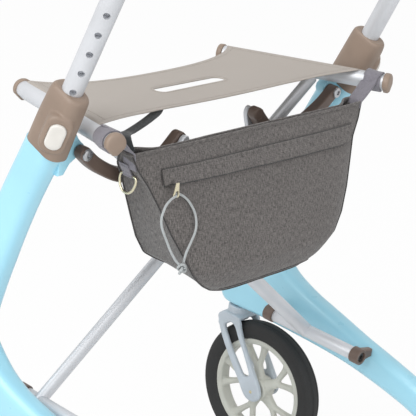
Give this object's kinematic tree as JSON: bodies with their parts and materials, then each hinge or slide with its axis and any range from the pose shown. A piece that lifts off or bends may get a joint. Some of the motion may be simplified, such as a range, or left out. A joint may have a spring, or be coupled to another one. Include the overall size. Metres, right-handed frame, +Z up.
{
  "type": "folding rollator",
  "caption": "Folding rollator with wedge-shaped moulded side frames, height-adjustable handles, a fabric sling seat and a soft bag that hangs from the seat rails.",
  "frame": {"origin": "on the floor, midway between the two axle lines and between the two sides", "axes": "+X to the user's right, +Y forward to the caster wheels, +Z up"},
  "size_m": [0.612, 0.644, 0.8929],
  "materials": {
    "frame_shell": "satin moulded",
    "taupe_plastic": "satin moulded",
    "button_plastic": "satin moulded",
    "tube_metal": "anodised",
    "grip_rubber": "matte",
    "lever_plastic": "satin moulded",
    "dark_plastic": "satin moulded",
    "steel": "zinc plated",
    "fork_plastic": "satin moulded",
    "tyre_rubber": "matte",
    "hub_plastic": "satin moulded",
    "strap_fabric": "woven",
    "ring_metal": "satin",
    "seat_fabric": "woven",
    "bag_fabric": "melange woven",
    "cord_fabric": "braided",
    "webbing_fabric": "woven"
  },
  "bodies": {
    "frame_left": {"frame_left": "frame_shell", "collar_left": "taupe_plastic", "hinge_bush_rear_left": "dark_plastic", "hinge_bush_front_left": "dark_plastic", "hinge_bolt_left": "steel", "link_pin_left": "steel", "rear_axle_left": "steel"},
    "cross_a": {"cross_tube_a": "tube_metal", "hinge_sleeve_left": "tube_metal", "rail_right": "tube_metal", "rail_cap_rear_right": "taupe_plastic", "rail_cap_front_right": "taupe_plastic", "cross_pivot_bolt": "steel", "bag_strap_right": "strap_fabric", "bag_ring_right": "ring_metal", "seat_cloth": "seat_fabric"},
    "cross_b": {"cross_tube_b": "tube_metal", "hinge_sleeve_right": "tube_metal", "rail_left": "tube_metal", "rail_cap_rear_left": "taupe_plastic", "rail_cap_front_left": "taupe_plastic", "bag_strap_left": "strap_fabric", "bag_ring_left": "ring_metal", "seat_webbing": "webbing_fabric"},
    "frame_right": {"frame_right": "frame_shell", "collar_right": "taupe_plastic", "hinge_bush_rear_right": "dark_plastic", "hinge_bush_front_right": "dark_plastic", "hinge_bolt_right": "steel", "link_pin_right": "steel", "rear_axle_right": "steel"},
    "bag": {"bag_body": "bag_fabric"},
    "zip_slider": {"zip_slider": "ring_metal", "pull_cord": "cord_fabric"},
    "link_left": {"link_left": "dark_plastic"},
    "handle_left": {"handle_tube_left": "tube_metal", "handle_housing_left": "taupe_plastic", "grip_left": "grip_rubber"},
    "button_left": {"push_button_left": "button_plastic"},
    "lever_left": {"brake_lever_left": "lever_plastic"},
    "caster_left": {"caster_fork_left": "fork_plastic", "front_axle_left": "steel"},
    "front_wheel_left": {"front_tyre_left": "tyre_rubber", "front_rim_left": "hub_plastic"},
    "rear_wheel_left": {"rear_tyre_left": "tyre_rubber", "rear_rim_left": "hub_plastic"},
    "shoe_left": {"brake_shoe_left": "dark_plastic"},
    "link_right": {"link_right": "dark_plastic"},
    "handle_right": {"handle_tube_right": "tube_metal", "handle_housing_right": "taupe_plastic", "grip_right": "grip_rubber"},
    "button_right": {"push_button_right": "button_plastic"},
    "lever_right": {"brake_lever_right": "lever_plastic"},
    "caster_right": {"caster_fork_right": "fork_plastic", "front_axle_right": "steel"},
    "front_wheel_right": {"front_tyre_right": "tyre_rubber", "front_rim_right": "hub_plastic"},
    "rear_wheel_right": {"rear_tyre_right": "tyre_rubber", "rear_rim_right": "hub_plastic"},
    "shoe_right": {"brake_shoe_right": "dark_plastic"}
  },
  "joints": [
    {"name": "fold", "type": "hinge", "parent": "frame_left", "child": "cross_a", "pos_m": [-0.2216, 0.137, 0.244], "axis": [0, -1, 0], "range_deg": [0, 40], "deforming": ["seat_cloth", "seat_webbing", "bag_body", "bag_strap_left", "bag_strap_right"]},
    {"name": "cross_pivot", "type": "hinge", "parent": "cross_a", "child": "cross_b", "pos_m": [0, 0.158, 0.42], "axis": [0, -1, 0], "range_deg": [-80, 0]},
    {"name": "fold_right", "type": "hinge", "parent": "cross_b", "child": "frame_right", "pos_m": [0.2216, 0.1175, 0.244], "axis": [0, -1, 0], "range_deg": [0, 40]},
    {"name": "bag_hang", "type": "hinge", "parent": "cross_a", "child": "bag", "pos_m": [0.247, 0.096, 0.605], "axis": [0, -1, 0], "range_deg": [-40, 0]},
    {"name": "zip_shift", "type": "slide", "parent": "bag", "child": "zip_slider", "axis": [1, 0, 0], "range_m": [0, 0.2921]},
    {"name": "link_left_hinge", "type": "hinge", "parent": "frame_left", "child": "link_left", "pos_m": [-0.2355, 0.15, 0.574], "axis": [0, -1, 0], "range_deg": [0, 56]},
    {"name": "height_left", "type": "slide", "parent": "frame_left", "child": "handle_left", "axis": [0, -0.3502, 0.9367], "range_m": [-0.075, 0.05]},
    {"name": "button_left_press", "type": "slide", "parent": "frame_left", "child": "button_left", "axis": [0.7193, 0.6507, 0.2433], "range_m": [0, 0.003], "stiffness_N_per_m": 600, "springref_m": -0.002},
    {"name": "lever_left_pull", "type": "hinge", "parent": "handle_left", "child": "lever_left", "pos_m": [-0.268, 0.048, 0.833], "axis": [-1, 0, 0], "range_deg": [0, 9], "stiffness_Nm_per_rad": 1.5, "springref_deg": -8.59},
    {"name": "shoe_left_turn", "type": "hinge", "parent": "frame_left", "child": "shoe_left", "pos_m": [-0.29, -0.128, 0.17], "axis": [1, 0, 0], "range_deg": [0, 2.5]},
    {"name": "steer_left", "type": "hinge", "parent": "frame_left", "child": "caster_left", "pos_m": [-0.268, 0.283, 0.2], "axis": [0, 0, 1], "continuous": true},
    {"name": "front_spin_left", "type": "hinge", "parent": "caster_left", "child": "front_wheel_left", "pos_m": [-0.268, 0.222, 0.1], "axis": [1, 0, 0], "continuous": true},
    {"name": "rear_spin_left", "type": "hinge", "parent": "frame_left", "child": "rear_wheel_left", "pos_m": [-0.29, -0.222, 0.1], "axis": [1, 0, 0], "continuous": true},
    {"name": "link_right_hinge", "type": "hinge", "parent": "frame_right", "child": "link_right", "pos_m": [0.2355, 0.166, 0.574], "axis": [0, -1, 0], "range_deg": [-56, 0]},
    {"name": "height_right", "type": "slide", "parent": "frame_right", "child": "handle_right", "axis": [0, -0.3502, 0.9367], "range_m": [-0.075, 0.05]},
    {"name": "button_right_press", "type": "slide", "parent": "frame_right", "child": "button_right", "axis": [-0.7193, 0.6507, 0.2433], "range_m": [0, 0.003], "stiffness_N_per_m": 600, "springref_m": -0.002},
    {"name": "lever_right_pull", "type": "hinge", "parent": "handle_right", "child": "lever_right", "pos_m": [0.268, 0.048, 0.833], "axis": [-1, 0, 0], "range_deg": [0, 9], "stiffness_Nm_per_rad": 1.5, "springref_deg": -8.59},
    {"name": "shoe_right_turn", "type": "hinge", "parent": "frame_right", "child": "shoe_right", "pos_m": [0.29, -0.128, 0.17], "axis": [1, 0, 0], "range_deg": [0, 2.5]},
    {"name": "steer_right", "type": "hinge", "parent": "frame_right", "child": "caster_right", "pos_m": [0.268, 0.283, 0.2], "axis": [0, 0, 1], "continuous": true},
    {"name": "front_spin_right", "type": "hinge", "parent": "caster_right", "child": "front_wheel_right", "pos_m": [0.268, 0.222, 0.1], "axis": [1, 0, 0], "continuous": true},
    {"name": "rear_spin_right", "type": "hinge", "parent": "frame_right", "child": "rear_wheel_right", "pos_m": [0.29, -0.222, 0.1], "axis": [1, 0, 0], "continuous": true}
  ],
  "couplings": [
    {"joint": "cross_pivot", "follows": "fold", "ratio": -2},
    {"joint": "fold_right", "follows": "fold", "ratio": 1},
    {"joint": "bag_hang", "follows": "fold", "ratio": -1},
    {"joint": "zip_shift", "follows": "fold", "m_per_rad": 0.4184},
    {"joint": "link_left_hinge", "follows": "fold", "ratio": 1.38},
    {"joint": "shoe_left_turn", "follows": "lever_left_pull", "ratio": 0.2778},
    {"joint": "link_right_hinge", "follows": "fold", "ratio": -1.38},
    {"joint": "shoe_right_turn", "follows": "lever_right_pull", "ratio": 0.2778}
  ]
}
